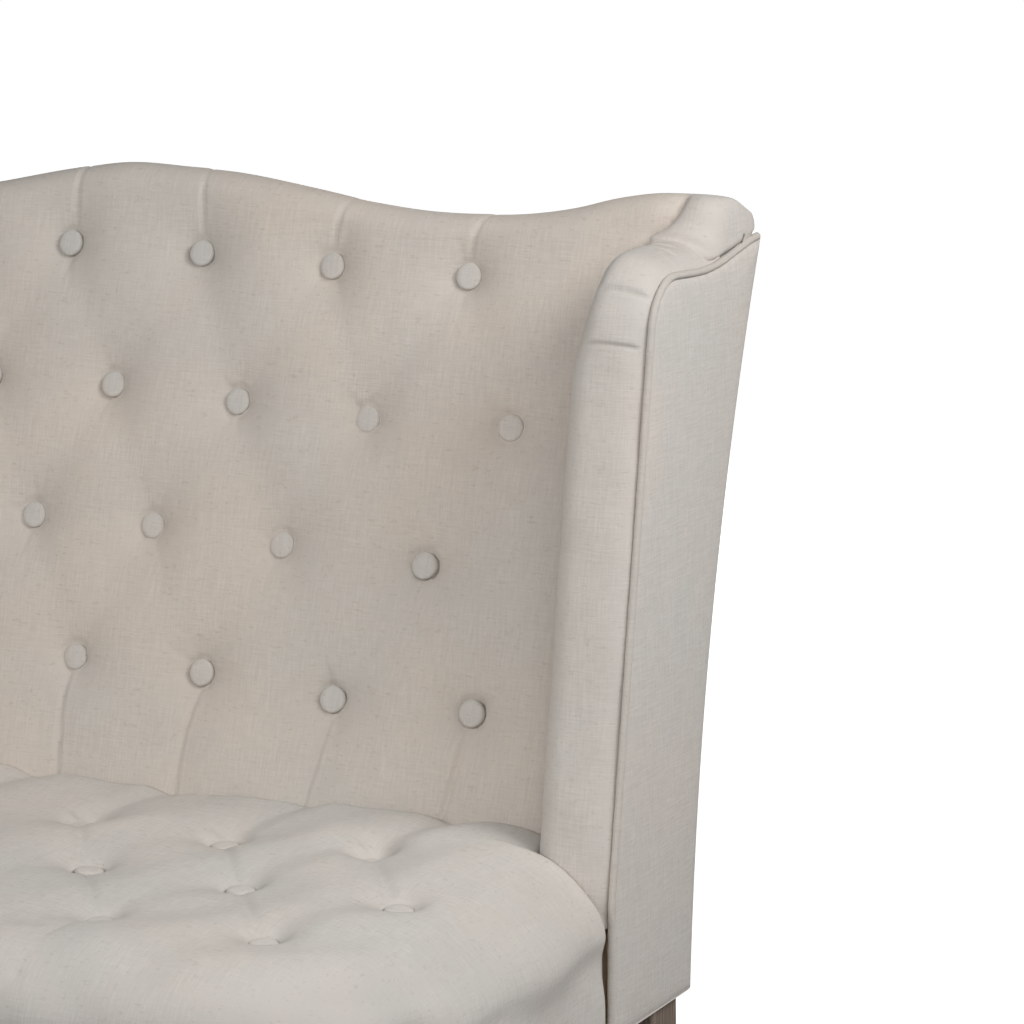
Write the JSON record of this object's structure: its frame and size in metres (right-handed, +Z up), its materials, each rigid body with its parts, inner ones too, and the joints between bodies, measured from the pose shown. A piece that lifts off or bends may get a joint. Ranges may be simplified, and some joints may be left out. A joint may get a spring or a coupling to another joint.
{
  "type": "settee",
  "caption": "Dining-height winged settee with a leaning button-tufted back, a shaped crest, padded wing fronts, a tufted seat with round corners and tapered oak legs.",
  "frame": {"origin": "on the floor under the middle of the whole settee", "axes": "+X to the right seen from the front, +Y to the back, +Z up"},
  "size_m": [1.58, 0.66, 0.97],
  "materials": {
    "linen": "woven, matte",
    "welt_linen": "woven, matte",
    "oak": "weathered, brushed",
    "beech": "sawn, unfinished",
    "plywood": "sanded",
    "jute": "coarse weave",
    "dust_cloth": "matte",
    "steel": "zinc plated",
    "glide_plastic": "matte"
  },
  "bodies": {
    "root": {"back_buttons_row_1": "linen", "back_buttons_row_2": "linen", "back_buttons_row_3": "linen", "back_buttons_row_4": "linen", "back_webbing": "jute", "crest_rail": "beech", "dust_cover": "dust_cloth", "front_border": "linen", "front_left_glide": "glide_plastic", "front_left_leg": "oak", "front_right_glide": "glide_plastic", "front_right_leg": "oak", "front_seat_rail": "beech", "left_back_post": "beech", "left_border": "linen", "left_corner_block": "beech", "left_cross_rail": "beech", "left_front_corner": "beech", "left_outside_panel": "linen", "left_seat_rail": "beech", "left_welt": "welt_linen", "left_wing_board": "plywood", "left_wing_dowels": "beech", "left_wing_pad": "linen", "leg_bolts": "steel", "leg_plates": "steel", "lower_back_rail": "beech", "outside_back_panel": "linen", "rear_left_glide": "glide_plastic", "rear_left_leg": "oak", "rear_right_glide": "glide_plastic", "rear_right_leg": "oak", "rear_seat_rail": "beech", "right_back_post": "beech", "right_border": "linen", "right_corner_block": "beech", "right_cross_rail": "beech", "right_front_corner": "beech", "right_outside_panel": "linen", "right_seat_rail": "beech", "right_welt": "welt_linen", "right_wing_board": "plywood", "right_wing_dowels": "beech", "right_wing_pad": "linen", "seat_buttons_row_1": "linen", "seat_buttons_row_2": "linen", "seat_buttons_row_3": "linen", "seat_buttons_row_4": "linen", "seat_webbing_crosswise": "jute", "seat_webbing_lengthwise": "jute", "tufted_back": "linen", "tufted_seat": "linen"}
  },
  "joints": []
}
